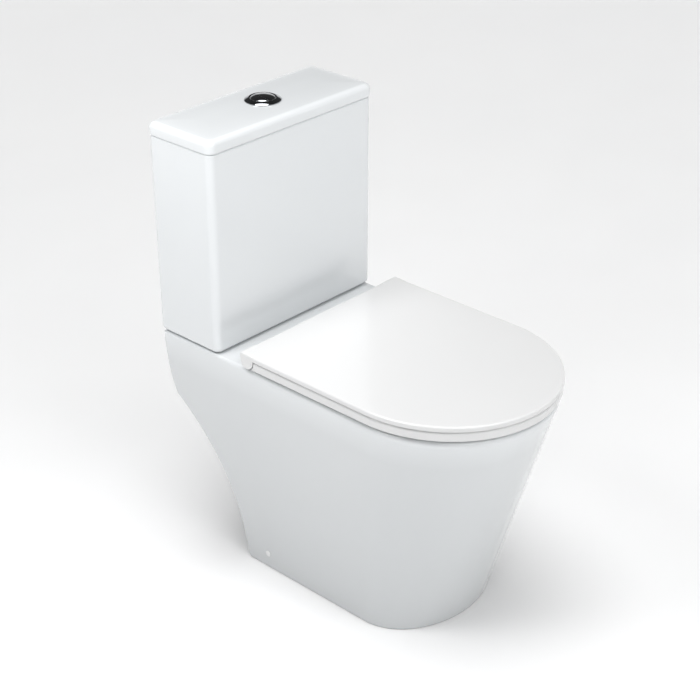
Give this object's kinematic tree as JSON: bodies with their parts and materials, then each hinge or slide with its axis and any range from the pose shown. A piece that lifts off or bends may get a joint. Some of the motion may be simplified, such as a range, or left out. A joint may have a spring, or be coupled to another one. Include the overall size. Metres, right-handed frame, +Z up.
{
  "type": "close coupled toilet",
  "caption": "Close coupled toilet with a skirted ceramic pan, a cistern with a lift-off lid and a push-button flush, and a hinged seat and lid.",
  "frame": {"origin": "on the floor, midway across the width and midway from the wall to the front of the seat", "axes": "+Z up, -Y towards the front, +Y towards the wall, +X to the right as seen from the front"},
  "size_m": [0.371, 0.652, 0.796],
  "materials": {
    "glazed_ceramic": "glossy white glaze",
    "seat_plastic": "satin white thermoset",
    "chromed_plastic": "bright chrome plating on plastic",
    "chrome": "bright chrome",
    "steel": "bright steel",
    "white_plastic": "moulded",
    "blue_plastic": "moulded",
    "grey_plastic": "moulded",
    "rubber": "black rubber",
    "seal": "silicone",
    "brass": "plain"
  },
  "bodies": {
    "base": {"pan": "glazed_ceramic", "cistern": "glazed_ceramic", "side_screw_cap_left": "seat_plastic", "side_screw_cap_right": "seat_plastic", "hinge_knuckle_left": "chrome", "hinge_knuckle_right": "chrome", "side_screw_left": "steel", "side_screw_right": "steel", "coupling_washer_left": "steel", "coupling_washer_right": "steel", "hinge_stud_left": "steel", "hinge_stud_right": "steel", "hinge_pin_left": "steel", "hinge_pin_right": "steel", "floor_bracket_left": "white_plastic", "floor_bracket_right": "white_plastic", "coupling_wing_nut_left": "white_plastic", "coupling_wing_nut_right": "white_plastic", "flush_valve_body": "white_plastic", "flush_valve_back_nut": "white_plastic", "fill_valve_body": "white_plastic", "fill_valve_back_nut": "white_plastic", "hinge_wing_nut_left": "white_plastic", "hinge_wing_nut_right": "white_plastic", "coupling_rubber_left": "rubber", "coupling_rubber_right": "rubber", "flush_valve_washer": "rubber", "coupling_gasket": "rubber", "fill_valve_washer": "rubber", "hinge_gasket_left": "rubber", "hinge_gasket_right": "rubber", "coupling_bolt_left": "brass", "coupling_bolt_right": "brass"},
    "cistern_lid": {"cistern_lid": "glazed_ceramic", "button_bezel": "chromed_plastic", "button_nut": "white_plastic", "full_flush_spring": "steel", "half_flush_spring": "steel"},
    "seat_ring": {"seat_ring": "seat_plastic", "ring_buffer_back_left": "grey_plastic", "ring_buffer_front_left": "grey_plastic", "ring_buffer_back_right": "grey_plastic", "ring_buffer_front_right": "grey_plastic", "ring_damper": "grey_plastic"},
    "seat_lid": {"seat_lid": "seat_plastic", "lid_buffer_left": "grey_plastic", "lid_buffer_right": "grey_plastic", "lid_damper": "grey_plastic"},
    "full_button": {"full_flush_button": "chromed_plastic", "full_flush_rod": "white_plastic"},
    "half_button": {"half_flush_button": "chromed_plastic", "half_flush_rod": "white_plastic"},
    "full_lever": {"full_flush_lever": "blue_plastic"},
    "half_lever": {"half_flush_lever": "grey_plastic"},
    "flush_valve": {"overflow_tube": "blue_plastic", "flush_valve_seal": "seal"},
    "half_float": {"half_flush_float": "white_plastic"},
    "fill_float": {"fill_valve_float": "blue_plastic"},
    "fill_arm": {"fill_valve_arm": "grey_plastic"}
  },
  "joints": [
    {"name": "seat_ring_hinge", "type": "hinge", "parent": "base", "child": "seat_ring", "pos_m": [0, 0.12, 0.4322], "axis": [1, 0, 0], "range_deg": [-96, 0]},
    {"name": "seat_lid_hinge", "type": "hinge", "parent": "seat_ring", "child": "seat_lid", "pos_m": [0, 0.12, 0.4322], "axis": [-1, 0, 0], "range_deg": [0, 96]},
    {"name": "cistern_lid_lift", "type": "slide", "parent": "base", "child": "cistern_lid", "axis": [0, 0, 1], "range_m": [0, 0.16]},
    {"name": "full_button_press", "type": "slide", "parent": "cistern_lid", "child": "full_button", "axis": [0, 0, -1], "range_m": [0, 0.005], "stiffness_N_per_m": 300, "springref_m": -0.004, "deforming": ["full_flush_spring"]},
    {"name": "half_button_press", "type": "slide", "parent": "cistern_lid", "child": "half_button", "axis": [0, 0, -1], "range_m": [0, 0.005], "stiffness_N_per_m": 300, "springref_m": -0.004, "deforming": ["half_flush_spring"]},
    {"name": "full_lever_turn", "type": "hinge", "parent": "base", "child": "full_lever", "pos_m": [0, 0.249, 0.699], "axis": [0, 1, 0], "range_deg": [0, 26]},
    {"name": "half_lever_turn", "type": "hinge", "parent": "base", "child": "half_lever", "pos_m": [0, 0.263, 0.699], "axis": [0, -1, 0], "range_deg": [0, 26]},
    {"name": "flush_valve_lift", "type": "slide", "parent": "base", "child": "flush_valve", "axis": [0, 0, 1], "range_m": [0, 0.0075]},
    {"name": "half_float_lift", "type": "slide", "parent": "base", "child": "half_float", "axis": [0, 0, 1], "range_m": [0, 0.0075]},
    {"name": "fill_float_rise", "type": "slide", "parent": "base", "child": "fill_float", "axis": [0, 0, 1], "range_m": [0, 0.012]},
    {"name": "fill_arm_turn", "type": "hinge", "parent": "base", "child": "fill_arm", "pos_m": [0.149, 0.256, 0.728], "axis": [0, 1, 0], "range_deg": [0, 22]}
  ],
  "couplings": [
    {"joint": "full_lever_turn", "follows": "full_button_press", "rad_per_m": 76.923},
    {"joint": "flush_valve_lift", "follows": "full_button_press", "ratio": 1.3462},
    {"joint": "half_lever_turn", "follows": "half_button_press", "rad_per_m": 76.923},
    {"joint": "half_float_lift", "follows": "half_button_press", "ratio": 1.3462},
    {"joint": "fill_arm_turn", "follows": "fill_float_rise", "rad_per_m": 27.778}
  ]
}
